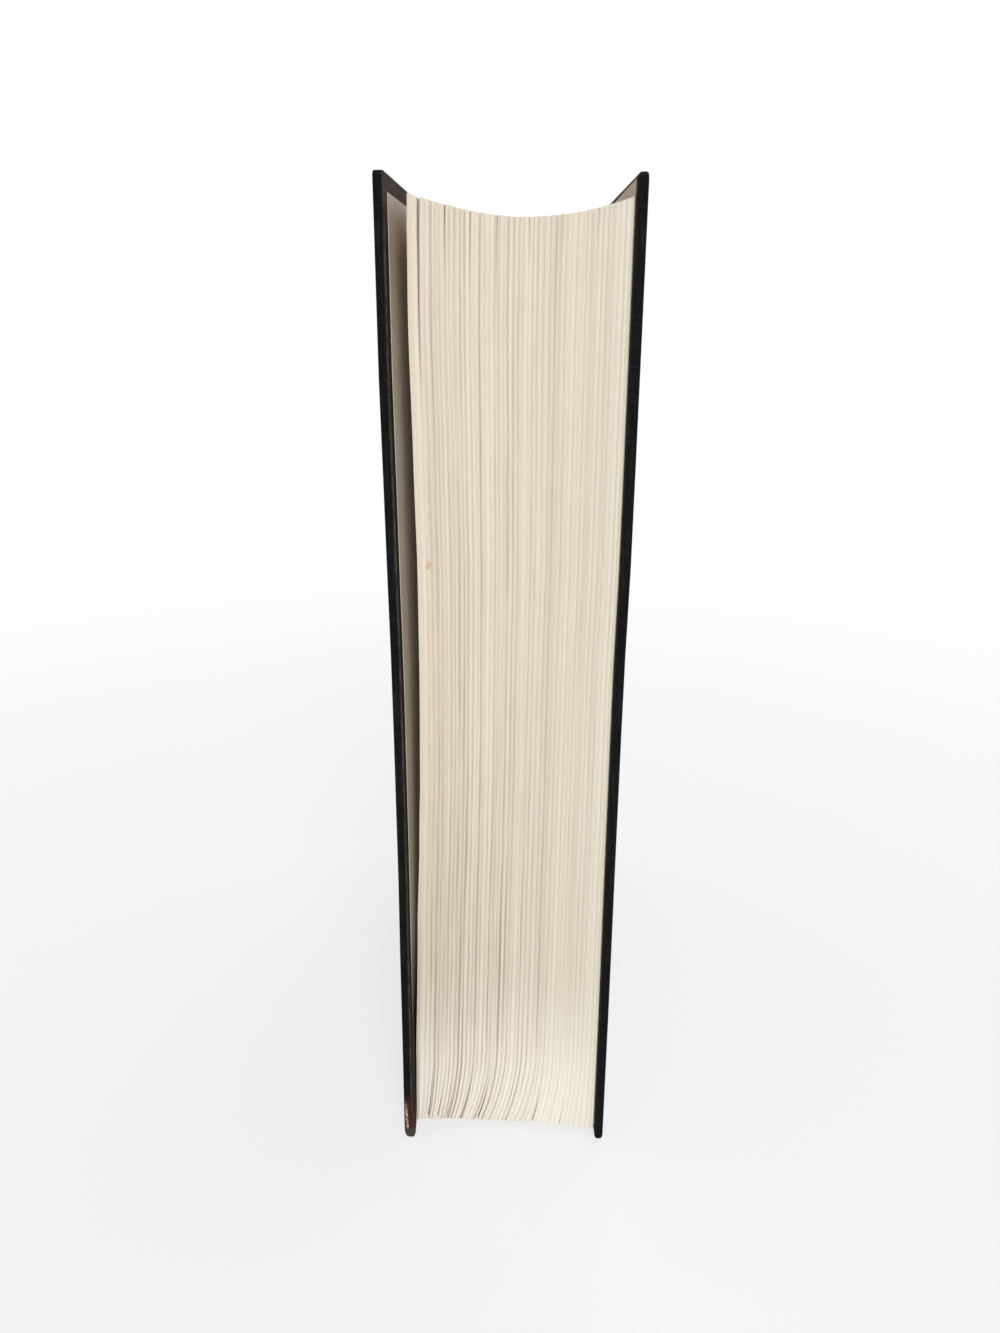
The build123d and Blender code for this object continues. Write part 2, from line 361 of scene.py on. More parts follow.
# %% How far the leaves have sunk at the head, and lifted at the tail
sag_at_front = 0.6 * mm
sag_in_middle = 4.6 * mm
sag_at_back = 1.15 * mm
lift_at_front = 3.0 * mm
lift_in_middle = 1.9 * mm
lift_at_back = 2.0 * mm
lowest_leaf = 0.5


def over_the_leaves(leaf, at_front, in_middle, at_back, front_ease=1.0, back_ease=1.0):
    """A length that goes from the first leaf over the middle one to the last."""
    if leaf < lowest_leaf:
        return in_middle + (at_front - in_middle) * ((lowest_leaf - leaf) / lowest_leaf) ** front_ease
    return in_middle + (at_back - in_middle) * ((leaf - lowest_leaf) / (1 - lowest_leaf)) ** back_ease


def head_sag(leaf):
    """How far a leaf's head has sunk at the fore-edge. The back rises late and steeply."""
    return over_the_leaves(leaf, sag_at_front, sag_in_middle, sag_at_back, 1.6, 2.2)


def tail_lift(leaf):
    """How high a leaf's tail stands at the fore-edge."""
    return over_the_leaves(leaf, lift_at_front, lift_in_middle, lift_at_back)


print("head of the middle leaf:", round((bound_head - head_sag(0.5)) / mm, 1), "mm high")


# %% Fore-edge, spine and sides
def fore_edge_y(leaf, height):
    """The hollow fore-edge, deepest at the middle leaf and at the head."""
    depth = hollow_at_tail + (hollow_at_head - hollow_at_tail) * height / cad_high.z
    return fore_y + depth * (1 - (2 * leaf - 1) ** 2) - last_leaves_forward * leaf**4


def spine_y(leaf):
    """The rounded spine of the leaves."""
    radius = (half_leaves**2 + spine_round**2) / (2 * spine_round)
    across = (2 * leaf - 1) * half_leaves
    return shoulder_y + spine_round - radius + (radius**2 - across**2) ** 0.5


front_line = ((0, -0.65), (6, -0.7), (17, -1.0), (30, -1.3), (67, -1.2), (90, -0.6), (112, -0.05),
              (133, 0.3), (160, 0.42), (180, 0.1), (213, -0.32), (228, -0.15), (241, 0.15))
back_line = ((0, -0.2), (45, -0.14), (85, -0.2), (130, -0.22), (165, 0.16), (200, 0.16), (241, 0.12))


def from_marks(marks, height):
    """A length between marks of height and length, both in millimetres."""
    for (low_height, low_length), (high_height, high_length) in zip(marks[:-1], marks[1:]):
        if height <= high_height * mm or high_height == marks[-1][0]:
            share = (height / mm - low_height) / (high_height - low_height)
            share = min(1.0, max(0.0, share))
            share = share * share * (3 - 2 * share)
            return (low_length + share * (high_length - low_length)) * mm


swing_reach = 5.0 * mm
swing_height = 26 * mm


def tail_swing(leaf, height, looseness):
    """How far to the front a leaf swings where its tail stands on the table."""
    low = max(0.0, 1 - height / swing_height)
    return -swing_reach * looseness * max(0.0, sin(pi * leaf)) ** 0.8 * low**2


def leaf_x(leaf, depth_y, height, looseness=1.0):
    """Where a leaf lies between the covers, at a depth and a height."""
    out = min(1.0, max(0.0, (shoulder_y - depth_y) / (shoulder_y - fore_y)))
    bend_height = height / max(out, 0.01)
    low = max(0.0, 1 - bend_height / tail_bulge_height)
    left = spine_x - half_leaves - out * (front_fan + tail_bulge * low**2)
    left += out**2 * from_marks(front_line, height)
    right = spine_x + half_leaves + out**2 * from_marks(back_line, height)
    return left + leaf * (right - left) + out * tail_swing(leaf, height, looseness)


print("the first leaf starts at x =", round(leaf_x(0, fore_y, 0.2) / mm, 2), "mm")

# %% [markdown]
# ## Where the leaves stand open
#
# Here and there two leaves stand apart, and a dark line shows between them, deepened by painted shade. The
# widest one is behind the first few leaves at the head, as the front cover hangs ajar there. Others open
# at the tail, where the leaves are bent.

# %% Openings between leaves
Opening = namedtuple("Opening", "leaf head tail head_reach tail_reach")

# The leaf, then in mm the widths at the head and at the tail, and how far each runs
opening_marks = (
    (0.045, 0.62, 0.0, 40, 1),
    (0.090, 0.0, 0.34, 1, 20),
    (0.155, 0.0, 0.30, 1, 16),
    (0.160, 0.22, 0.0, 16, 1),
    (0.220, 0.0, 0.24, 1, 14),
    (0.275, 0.20, 0.0, 22, 1),
    (0.2975, 0.0, 0.26, 1, 16),
    (0.420, 0.0, 0.46, 1, 19),
    (0.3975, 0.20, 0.0, 20, 1),
    (0.545, 0.14, 0.0, 12, 1),
    (0.6975, 0.10, 0.0, 10, 1),
    (0.7225, 0.0, 0.36, 1, 12),
    (0.855, 0.10, 0.12, 14, 9),
)
openings = [Opening(leaf, *(length * mm for length in lengths)) for leaf, *lengths in opening_marks]
opening_depth_reach = 45 * mm
opening_falloff = 1.2 * mm
opening_aspect = 4.2


def opening_width(opening, leaf_head, leaf_tail, depth, height):
    """How wide an opening is at a place. It closes along the edge and towards the spine."""
    inward = max(0.0, 1 - depth / opening_depth_reach)
    from_head = max(0.0, 1 - (leaf_head - height) / opening.head_reach)
    from_tail = max(0.0, 1 - (height - leaf_tail) / opening.tail_reach)
    return inward * (opening.head * from_head**1.2 + opening.tail * from_tail**1.2)


print("openings between leaves:", len(openings))

# %% [markdown]
# ## The block of leaves
#
# A text block could be a box with a line texture, but close by, a real fore-edge is hundreds of paper
# edges, each a little deeper or shallower than the next. So the skin is a grid: one direction runs over
# the leaves, two columns to each, and the other once round the block, up the fore-edge, over the head,
# down the spine and back along the tail. So every leaf keeps its own column.

# %% Leaves, their sections, and the columns of the grid
leaf_count = 400
dice = random.Random(7)

sections = []
while sum(sections) < leaf_count:
    sections.append(dice.choice((8, 9, 9, 10, 10, 11)))
sections[-1] -= sum(sections) - leaf_count
section_recess = [dice.uniform(0.0, 0.12) * mm for _ in sections]
section_looseness = [dice.uniform(0.92, 1.08) for _ in sections]
section_tone = [dice.random() for _ in sections]
seam_strength = [dice.choice((0.35, 0.5, 0.65, 0.8, 1.0)) for _ in range(len(sections) + 1)]
seam_strength[0] = seam_strength[1] = seam_strength[-1] = 0.0

opening_at = {round(opening.leaf * leaf_count): opening for opening in openings}
edge_share = 0.06


def columns_of(section, first_leaf, place):
    """The two columns of a leaf, and two deep ones where an opening follows it."""
    index = first_leaf + place
    count = sections[section]
    recess = section_recess[section] + dice.uniform(0.0, 0.06) * mm
    tone = 0.6 * section_tone[section] + 0.4 * dice.random()
    made = []
    for share in (edge_share, 1 - edge_share):
        at = 0.0 if index + share < 0.5 else (index + share) / leaf_count
        at = 1.0 if index + share > leaf_count - 0.5 else at
        seams = zip(seam_strength[section:section + 2], (place + share, count - place - share))
        seam = max(strength * exp(-((distance / (1.0 + strength)) ** 2)) for strength, distance in seams)
        made.append({"leaf": at, "tone": tone, "seam": seam, "recess": recess + 0.17 * mm * seam,
                     "looseness": section_looseness[section], "deep": None})
    opening = opening_at.get(index + 1)
    if opening:
        for side in (-0.5, 0.5):
            at = (index + 1 + side * edge_share) / leaf_count
            # An opening's columns carry a strong seam, which the leaf material paints as shade
            made.append(dict(made[-1], leaf=at, deep=opening, seam=1.5))
    return made


columns = []
for section, count in enumerate(sections):
    for place in range(count):
        columns += columns_of(section, sum(sections[:section]), place)
print(len(sections), "sections of leaves in", len(columns), "columns")

# %% The rows round the block
rows_up = 40
rows_deep = 10
crowding_at_tail = 1.2


def eased(step, steps):
    """Steps that crowd at both ends of a side, where the shape turns."""
    return (1 - cos(pi * step / steps)) / 2


def row_level(step):
    """How far up a row lies. The rows crowd more at the tail, where the leaves swing."""
    return eased(step, rows_up) ** crowding_at_tail


ring = [("fore", row_level(step)) for step in range(rows_up)]
ring += [("head", eased(step, rows_deep)) for step in range(rows_deep)]
ring += [("spine", 1 - row_level(rows_up - step)) for step in range(rows_up)]
ring += [("tail", eased(step, rows_deep)) for step in range(rows_deep)]
ring.append(ring[0])
print("rows round the block:", len(ring) - 1)


# %% From a column and a row to a point
def side_point(leaf, along, up, column=None):
    """A point inside a leaf: along is 0 at the fore-edge and 1 at the spine, up is 0 at the tail."""
    head = bound_head - head_sag(leaf)
    tail = tail_lift(leaf)
    edge_y = fore_edge_y(leaf, tail if up < 0.5 else head)
    height = tail + up * (head - tail)
    y = fore_edge_y(leaf, height)
    y += along * (spine_y(leaf) - y)
    bound = min(1.0, (y - fore_y) / (front_axis.y - fore_y))
    top = head + bound * (bound_head - head)
    bottom = tail + bound * (end_square - tail)
    height = bottom + up * (top - bottom)
    shift = 0.0
    deepness = 0.0
    for opening in openings:
        width = opening_width(opening, top, bottom, y - edge_y, height)
        if width > 0:
            gap = (leaf - opening.leaf) * 2 * half_leaves
            shift += (0.5 if gap > 0 else -0.5) * width * exp(-abs(gap) / opening_falloff)
            if column and column["deep"] is opening:
                deepness = width * opening_aspect
    looseness = column["looseness"] if column else 1.0
    x = leaf_x(leaf, y, height, looseness) + shift
    return Vector((x, y, height)), deepness


def skin_point(column, side, step):
    """A point of the skin, set back by its leaf's recess, and far back in an opening."""
    leaf = column["leaf"]
    along, up = {"fore": (0.0, step), "head": (step, 1.0), "spine": (1.0, 1 - step),
                 "tail": (1 - step, 0.0)}[side]
    point, deepness = side_point(leaf, along, up, column)
    bound = min(1.0, along * 1.3)
    recess = column["recess"] * (1 - bound)
    gap = (0.05 * mm + deepness) * (1 - bound) if column["deep"] else 0.0
    if side == "fore" or (side == "head" and step == 0):
        point.y += recess + gap
    if side == "tail" or (side == "fore" and step == 0):
        point.z += 0.6 * recess
    if side == "head":
        point.z -= 0.6 * recess
    return point


print("the skin starts at", [round(part / mm, 2) for part in skin_point(columns[0], "fore", 0.0)])

# %% Roll the grid up into the block
def make_object(name, shape, body, nodes=(), material=None):
    """Turns a bmesh into a finished piece that rides on a body and stands for CAD nodes."""
    bmesh.ops.recalc_face_normals(shape, faces=shape.faces)
    mesh = bpy.data.meshes.new(name)
    shape.to_mesh(mesh)
    shape.free()
    piece = bpy.data.objects.new(name, mesh)
    scene.collection.objects.link(piece)
    if body:
        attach(piece, body)
    if nodes:
        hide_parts(*nodes)
    if material:
        mesh.materials.append(material)
    return piece


def numbered_grid(shape, across, up):
    """Makes a grid, and gives each vertex with its column and its row."""
    made = bmesh.ops.create_grid(shape, x_segments=across, y_segments=up, size=0.5)
    return [(vert, round((vert.co.x + 0.5) * across), round((vert.co.y + 0.5) * up))
            for vert in made["verts"]]


def leaf_block():
    """The rolled skin and its two side faces, welded into one closed piece."""
    block = bmesh.new()
    layers = {name: block.verts.layers.float.new(name) for name in ("leaf", "tone", "seam")}
    for vert, across, up in numbered_grid(block, len(columns) - 1, len(ring) - 1):
        for name, layer in layers.items():
            vert[layer] = columns[across][name]
        vert.co = skin_point(columns[across], *ring[up])
    for column in (columns[0], columns[-1]):
        for vert, deep, high in numbered_grid(block, rows_deep, rows_up):
            along, up = eased(deep, rows_deep), row_level(high)
            vert[layers["leaf"]], vert[layers["tone"]] = column["leaf"], column["tone"]
            if high == rows_up:
                vert.co = skin_point(column, "head", along)
            elif deep == 0:
                vert.co = skin_point(column, "fore", up)
            elif high == 0:
                vert.co = skin_point(column, "tail", 1 - along)
            else:
                vert.co = side_point(column["leaf"], along, up, column)[0]
    bmesh.ops.remove_doubles(block, verts=block.verts, dist=0.001 * mm)
    return make_object("leaves", block, "book_block", ["text_block"])


leaves = leaf_block()
print("the leaves have", len(leaves.data.polygons), "faces")

# %% [markdown]
# ## Paper
#
# Book paper is not one cream. The front half of the fore-edge is a warm, slightly pink cream with clear
# lines, and the back half is yellower and smoother. The lines belong to leaves, so their colour is read
# from the leaf number that each vertex carries.

# %% The spot on the fore-edge
spot_x = -18.2 * mm
spot_height = 160.3 * mm
spot_slimness = 0.7


def spot_on_edge(place, parts):
    """Where the small brown spot is, with a ragged rim."""
    sideways = times(plus(parts[0], -spot_x), 1 / mm)
    upwards = times(plus(parts[2], -spot_height), spot_slimness / mm)
    from_spot = length_of(joined(sideways, upwards))
    ragged = noise(place, 1300.0)
    return spread(plus(from_spot, ragged), 1.35, 0.95, 0.0, 0.6)


print("the spot is", round(spot_height / mm), "mm above the table")

# %% Leaf edges
def leaf_material():
    """The cut edges of the leaves, with a line of painted shade at each seam between two sections."""
    material, tree, surface = new_material("leaf edges")
    leaf, tone, seam = [carried(tree, name) for name in ("leaf", "tone", "seam")]
    place = object_place(tree)
    parts = parts_of(place)
    run = plus(parts[1], parts[2])
    across = times(leaf, 2 * half_leaves / mm)

    def stretched(along_scale, across_scale, detail=2.0):
        """Noise that is drawn out along the leaves."""
        at = joined(across, times(run, along_scale))
        return noise(at, across_scale, detail)

    single = stretched(5.0, 3.4)
    low_half = spread(parts[2], 0.14, 0.05, smooth=True)
    line_strength = spread(leaf, 0.5, 0.74, 1.0, 0.34)
    drift = spread(stretched(20.0, 1.1), 0.38, 0.62, 0.4, 1.0)
    # Painted shade where the leaves part at the seams between sections
    lines = times(seam, drift, line_strength)
    lines = math("MULTIPLY", lines, plus(times(low_half, 0.6), 0.74), clamp=True)
    near_tail = spread(parts[2], 0.07, 0.01)
    darkened = times(spread(leaf, 0.002, 0.022, 1.0, 0.0), near_tail, 0.65)
    shade = coats(
        colour(229, 218, 203),
        # The back half is yellower, and leaves and clumps of leaves differ in tone
        (spread(leaf, 0.45, 0.85, smooth=True), (227, 220, 202)),
        (spread(tone, 0.25, 0.8, 0.0, 0.75), (215, 203, 188)),
        (spread(stretched(6.0, 0.21), 0.4, 0.6, 0.0, 0.35), (212, 201, 185)),
        # Painted shade darkens the front leaves low down, and painted light from the table lightens all of
        # them near the tail
        (times(low_half, spread(leaf, 0.65, 0.1, 0.0, 0.3)), (200, 188, 171)),
        (spread(parts[2], 0.006, 0.055, 0.8, 0.0, smooth=True), (252, 247, 237)),
        # Painted shade in the gaps at the seams between sections, then single dark and light leaves, and
        # fibres
        (lines, (172, 158, 138)),
        (times(spread(single, 0.52, 0.7, 0.0, 0.4), line_strength), (191, 179, 162)),
        (spread(single, 0.46, 0.3, 0.0, 0.5), (236, 228, 212)),
        (spread(stretched(260.0, 3.0, 3.0), 0.55, 0.8, 0.0, 0.12), (206, 190, 168)),
        # The last leaves are lighter, and the first ones are darker near the tail
        (spread(leaf, 0.86, 0.98, 0.0, 0.45, smooth=True), (242, 236, 220)),
        (darkened, (132, 118, 102)),
        (spot_on_edge(place, parts), (196, 168, 128)),
    )
    set_surface(surface, shade, 0.9, 0.15, single, 0.3, 0.1 * mm)
    return material


leaves.data.materials.append(leaf_material())
print("the leaves carry", leaves.data.materials[0].name)

# %% Endpaper finish
def endpaper_material(name, darkened=False):
    """Thick cream paper with faint fibres and clouds, with painted shade at the head near the fore-edge,
    and optionally painted shade along the outer edge and in the gap near a worn tail.
    """
    material, tree, surface = new_material(name)
    place = object_place(tree)
    parts = parts_of(place)
    fibres = noise(place, 900.0, 4.0, 0.7)
    cloudy = noise(place, 28.0, 3.0)
    high = plus(parts[2], spread(cloudy, 0.3, 0.7, -0.004, 0.004))
    near_fore = spread(parts[1], -0.03, -0.06)
    # Painted shade darkens the head of the sheet near the fore-edge
    head_shade = times(spread(high, 0.21, 0.233, smooth=True), near_fore)
    tint = coats(colour(232, 222, 208), (spread(cloudy, 0.3, 0.75), (225, 214, 199)),
                 (spread(fibres, 0.55, 0.75, 0.0, 0.3), (194, 182, 165)), (head_shade, (209, 193, 178)))
    if darkened:
        # Painted shade: a darker band along the outer edge of the sheet, and dark shade in the narrow gap
        # near the tail
        low = plus(parts[2], spread(cloudy, 0.3, 0.7, -0.008, 0.008))
        tail_gap_shade = times(spread(low, 0.062, 0.034), spread(parts[1], -0.05, -0.068), 0.92)
        edge_shade = spread(parts[1], -0.0732, -0.0768, 0.0, 0.4)
        tint = coats(tint, (edge_shade, (172, 159, 142)), (tail_gap_shade, (70, 57, 49)))
    set_surface(surface, tint, 0.85, 0.2, fibres, 0.2, 0.05 * mm)
    return material


endpaper = endpaper_material("endpaper")
shaded_endpaper = endpaper_material("soiled endpaper", darkened=True)
print("made", endpaper.name, "and", shaded_endpaper.name)

# %% [markdown]
# ## Flyleaves
#
# The free half of each endpaper lies on the first or the last leaf. The frame has them as flat facets.
# Here each is a grid laid on the same functions as the block, so that it follows every bend of the
# leaves, and then it gets its thickness.

# %% Sheets on the sides of the block
flyleaf_gap = 0.02 * mm


def new_verts(made):
    """The vertices that an extrusion made."""
    return [part for part in made["geom"] if isinstance(part, bmesh.types.BMVert)]


def thicken(sheet, offset):
    """Gives a sheet its second face at an offset."""
    made = bmesh.ops.extrude_face_region(sheet, geom=sheet.faces[:], use_keep_orig=True)
    bmesh.ops.translate(sheet, verts=new_verts(made), vec=offset)


def flyleaf(name, leaf, outward, node_name):
    """A sheet that lies on the first or the last leaf."""
    sheet = bmesh.new()
    for vert, deep, high in numbered_grid(sheet, rows_deep, rows_up):
        vert.co = side_point(leaf, eased(deep, rows_deep), row_level(high))[0]
        vert.co.x += outward * flyleaf_gap
    thicken(sheet, (outward * paper, 0, 0))
    make_object(name, sheet, "book_block", [node_name], endpaper)


flyleaf("front_free_endpaper", 0.0, -1, "front_flyleaf")
flyleaf("back_free_endpaper", 1.0, 1, "back_flyleaf")
print("flyleaves lie on the block")

# %% [markdown]
# ## Covers
#
# Each cover is a greyboard in cloth that is turned in over three edges, with the endpaper pasted over
# them. The pieces are made flat, in the cover's own measures: along it from the hinge, out through its
# layers, and up. One matrix stands them at the hinge. A slab starts as a cube, its corners and rims are
# bevelled, and cuts near the rims let it bend where a real board has warped.

# %% Where the layers of a cover lie
ajar = radians(2.5)
board_near = 9.0 * mm
cover_reach = 153.5 * mm
turn_in_level = 0.195 * mm
cloth_thickness = 0.15 * mm
board_level = turn_in_level + cloth_thickness
cover_outer = board_level + 2.0 * mm + cloth_thickness
pastedown_level = turn_in_level - paper
turn_in = 15 * mm
cover_top = cad_high.z


def hinge_matrix(axis, turned, side):
    """From a cover's own measures to where it stands: along, out and up."""
    along = Vector((side * sin(turned), -cos(turned), 0))
    out = Vector((side * cos(turned), sin(turned), 0))
    matrix = Matrix((along, out, (0, 0, 1))).transposed().to_4x4()
    return Matrix.Translation((axis.x, axis.y, 0)) @ matrix


stands = {
    "front": hinge_matrix(front_axis, ajar, -1),
    "back": hinge_matrix(back_axis, 0.0, 1),
}
front_corner = stands["front"] @ Vector((cover_reach, cover_outer, 0))
print("fore-edge of the front cover:", [round(part / mm, 1) for part in front_corner])

# %% How the boards have warped
warps = {
    "front": ((0, 0.42), (45, 0.16), (85, -0.14), (130, -0.18), (165, 0.12), (200, 0.48), (241, 0.4)),
    "back": ((0, -0.26), (45, -0.2), (85, -0.26), (130, -0.28), (165, 0.1), (200, 0.1), (241, 0.06)),
}


def warp(side, along, height):
    """How far a board bows out at a place, nothing at the hinge and most at the fore-edge."""
    return from_marks(warps[side], height) * (along / cover_reach) ** 2


tail_tips = {"front": 2.7 * mm, "back": 1.5 * mm}
head_tip = 1.4 * mm
blunt_share = 0.35
swollen_corner = 11 * mm
swelling = 1.0 * mm


def worn_level(side, level, along, height):
    """A layer's level where the rims are worn to a round tip, and the front tail corner is swollen."""
    inner = turn_in_level
    if side == "front":
        from_corner = ((cover_reach - along) ** 2 + height**2) ** 0.5
        swollen = swelling * max(0.0, 1 - from_corner / swollen_corner) ** 1.2
        level -= swollen * (cover_outer - level) / (cover_outer - turn_in_level)
        inner -= swollen
    tip = tail_tips[side]
    if height < tip:
        share = max(blunt_share, (1 - ((tip - height) / tip) ** 2) ** 0.5)
        middle = (inner + cover_outer) / 2
        return middle + (level - middle) * share
    if side == "back" and height > cover_top - head_tip:
        rise = min(1.0, (height - cover_top + head_tip) / head_tip)
        return max(level, turn_in_level + head_tip * (1 - (1 - rise**2) ** 0.5) * 0.9)
    return level


print("the front board bows out", round(warp("front", cover_reach, 0.2) / mm, 2), "mm near its head")

# %% Slabs with bevelled rims and fine cuts
round_corners = {"front": (1.1 * mm, 1.0 * mm), "back": (0.8 * mm, 1.8 * mm)}
cloth_rim = 0.45 * mm
board_rim = 0.4 * mm
board_inset = cloth_thickness * 1.2
close = 0.01 * mm


def evenly(low, high, parts):
    """Where a length is cut to divide it into equal parts."""
    return [low + step * (high - low) / parts for step in range(1, parts)]


def cut_across(shape, heights, places=()):
    """Cuts a mesh level at some heights, and upright at some places along it."""
    cuts = [(Vector((0, 0, height)), (0, 0, 1)) for height in heights]
    for point, normal in cuts + [(Vector((place, 0, 0)), (1, 0, 0)) for place in places]:
        geometry = shape.verts[:] + shape.edges[:] + shape.faces[:]
        bmesh.ops.bisect_plane(shape, geom=geometry, plane_co=point, plane_no=normal)


def stretch(shape, size, place):
    """Scales a shape that starts at zero, and moves it to its place."""
    bmesh.ops.scale(shape, verts=shape.verts, vec=size)
    bmesh.ops.translate(shape, verts=shape.verts, vec=place)


def round_off(shape, parts, radius, segments=5, affect="EDGES"):
    """Rounds edges or corners off."""
    bmesh.ops.bevel(shape, geom=parts, offset=radius, segments=segments, profile=0.5, material=-1,
                    affect=affect)


def slab(side, near, far, low_level, high_level, inset, rim):
    """A plate with round free corners and rims. Its end at the hinge stays square."""
    shape = bmesh.new()
    bmesh.ops.create_cube(shape, size=1.0)
    bmesh.ops.translate(shape, verts=shape.verts, vec=(0.5, 0.5, 0.5))
    size = (far - near, high_level - low_level, cover_top - 2 * inset)
    stretch(shape, size, (near, low_level, inset))
    for at_head, corner in enumerate(round_corners[side]):
        free_corner = [edge for edge in shape.edges
                       if all(vert.co.x > far - rim for vert in edge.verts)
                       and abs(edge.verts[0].co.z - edge.verts[1].co.z) < rim
                       and (edge.verts[0].co.z > cover_top / 2) == at_head]
        round_off(shape, free_corner, corner)
    rims = [edge for edge in shape.edges
            if abs(edge.verts[0].co.y - edge.verts[1].co.y) < close
            and not all(vert.co.x < near + rim for vert in edge.verts)]
    round_off(shape, rims, rim, segments=4)
    rows = [share * tail_tips[side] for share in (0.05, 0.14, 0.28, 0.46, 0.7, 1.0)]
    rows += [3 * mm, 6 * mm, 10 * mm, turn_in, 22 * mm]
    rows += [cover_top - row for row in rows] + [step * cover_top / 12 for step in range(2, 11)]
    from_edge = (0.7 * mm, 1.4 * mm, 2.2 * mm, 3.2 * mm, 7 * mm, turn_in)
    cuts = [cover_reach - place for place in from_edge]
    cut_across(shape, rows, cuts + evenly(near, cover_reach, 8))
    return shape


def stand_up(shape, side, worn=True):
    """Wears and warps a flat piece, and stands it at its hinge. The weave reads its flat place, in mm."""
    flat = shape.verts.layers.float_vector.new("flat_place")
    for vert in shape.verts:
        vert[flat] = vert.co / mm
        along, level, height = vert.co
        if worn:
            level = worn_level(side, level, along, height)
        vert.co.y = level + warp(side, along, height)
    bmesh.ops.transform(shape, verts=shape.verts, matrix=stands[side])
    return shape


def between_turn_ins(face):
    """Whether a face of the inner side lies between the turn-ins."""
    middle = face.calc_center_median()
    inside = turn_in < middle.z < cover_top - turn_in and middle.x < cover_reach - turn_in
    return inside and abs(middle.y - turn_in_level) < close


def cover_cloth(side):
    """The cloth of a cover, with a step where its turn-ins end under the pastedown."""
    shape = slab(side, board_near, cover_reach, turn_in_level, cover_outer, 0.0, cloth_rim)
    window = [face for face in shape.faces if between_turn_ins(face)]
    made = bmesh.ops.extrude_face_region(shape, geom=window)
    bmesh.ops.translate(shape, verts=new_verts(made), vec=(0, cloth_thickness, 0))
    bmesh.ops.delete(shape, geom=window, context="FACES_ONLY")
    return stand_up(shape, side)


def cover_board(side):
    """The greyboard inside the cloth."""
    shape = slab(side, board_near, cover_reach - board_inset, board_level + 0.02 * mm,
                 cover_outer - board_inset, board_inset, board_rim)
    return stand_up(shape, side)


print("a board lies", round(board_inset / mm, 2), "mm inside its cloth")

# %% [markdown]
# ## The pastedowns
#
# The pasted half of an endpaper shows where the turn-ins end beneath it, as a faint step. On the back
# cover it was pasted high and far out: in the photograph it stands above the heads of the leaves.

# %% Pastedown
pastedown_far = {"front": cover_reach - 4.0 * mm, "back": cover_reach - 2.2 * mm}
pastedown_rise = {"front": -0.5 * mm, "back": 2.0 * mm}
turn_in_step = 0.5 * mm


def upright_square():
    """A square on edge, 1 wide and 1 high, with its corner at zero."""
    square = bmesh.new()
    bmesh.ops.create_grid(square, x_segments=1, y_segments=1, size=0.5)
    bmesh.ops.rotate(square, verts=square.verts, matrix=Matrix.Rotation(pi / 2, 3, "X"))
    bmesh.ops.translate(square, verts=square.verts, vec=(0.5, 0, 0.5))
    return square


def pastedown(side):
    """A sheet over the turn-ins that sinks between them."""
    sheet = upright_square()
    size = (pastedown_far[side] - board_near, 1, bound_head - end_square)
    stretch(sheet, size, (board_near, pastedown_level, end_square))
    rows = [turn_in, turn_in + turn_in_step, 8 * mm]
    rows += [cover_top - row for row in rows]
    rows += evenly(turn_in, cover_top - turn_in, 9)
    cuts = [cover_reach - turn_in - turn_in_step, cover_reach - turn_in, cover_reach - 8 * mm]
    cut_across(sheet, rows, cuts + evenly(board_near, cover_reach, 8))
    inner = turn_in + turn_in_step * 0.9
    for vert in sheet.verts:
        if inner < vert.co.z < cover_top - inner and vert.co.x < cover_reach - inner:
            vert.co.y += cloth_thickness * 0.9
        if vert.co.z > cover_top - turn_in:
            vert.co.z += pastedown_rise[side] * (vert.co.x / cover_reach)
    thicken(sheet, (0, paper * 0.9, 0))
    return stand_up(sheet, side)


for side, finish in (("front", shaded_endpaper), ("back", endpaper)):
    body, nodes = side + "_cover", [side + "_pastedown"]
    make_object(side + "_pasted_endpaper", pastedown(side), body, nodes, finish)
print("pastedowns are laid")

# %% [markdown]
# ## Book cloth
#
# The case is covered in black book cloth: a fine plain weave with little sheen. Its turn-ins are painted
# lighter, and brown near the head, as painted light reflected from the pages. Several pieces use it, so
# the weave is a node group of its own.

# %% Weave as a node group
def weave_group():
    """Height of a plain weave: each thread passes over one thread and under the next."""
    group = bpy.data.node_groups.new("plain weave", "ShaderNodeTree")
    sockets = (("Place", "INPUT", "Vector"), ("Pitch", "INPUT", "Float"), ("Height", "OUTPUT", "Float"))
    for name, way, kind in sockets:
        group.interface.new_socket(name, in_out=way, socket_type="NodeSocket" + kind)
    entry = group.nodes.new("NodeGroupInput").outputs
    parts = parts_of(entry["Place"])
    threads = []
    for part in (parts[0], parts[2]):
        turns = math("DIVIDE", times(plus(part, parts[1]), pi), entry["Pitch"])
        threads.append(math("SINE", turns))
    over = spread(times(*threads), -0.25, 0.25)
    first, second = [math("ABSOLUTE", thread) for thread in threads]
    under = math("SUBTRACT", 1.0, over)
    height = plus(times(first, over), times(second, under))
    fill(group.nodes.new("NodeGroupOutput").inputs["Height"], height)
    return group


weave = weave_group()
print("weave group:", [item.name for item in weave.interface.items_tree])

# %% Cloth finish
thread_pitch = 0.42


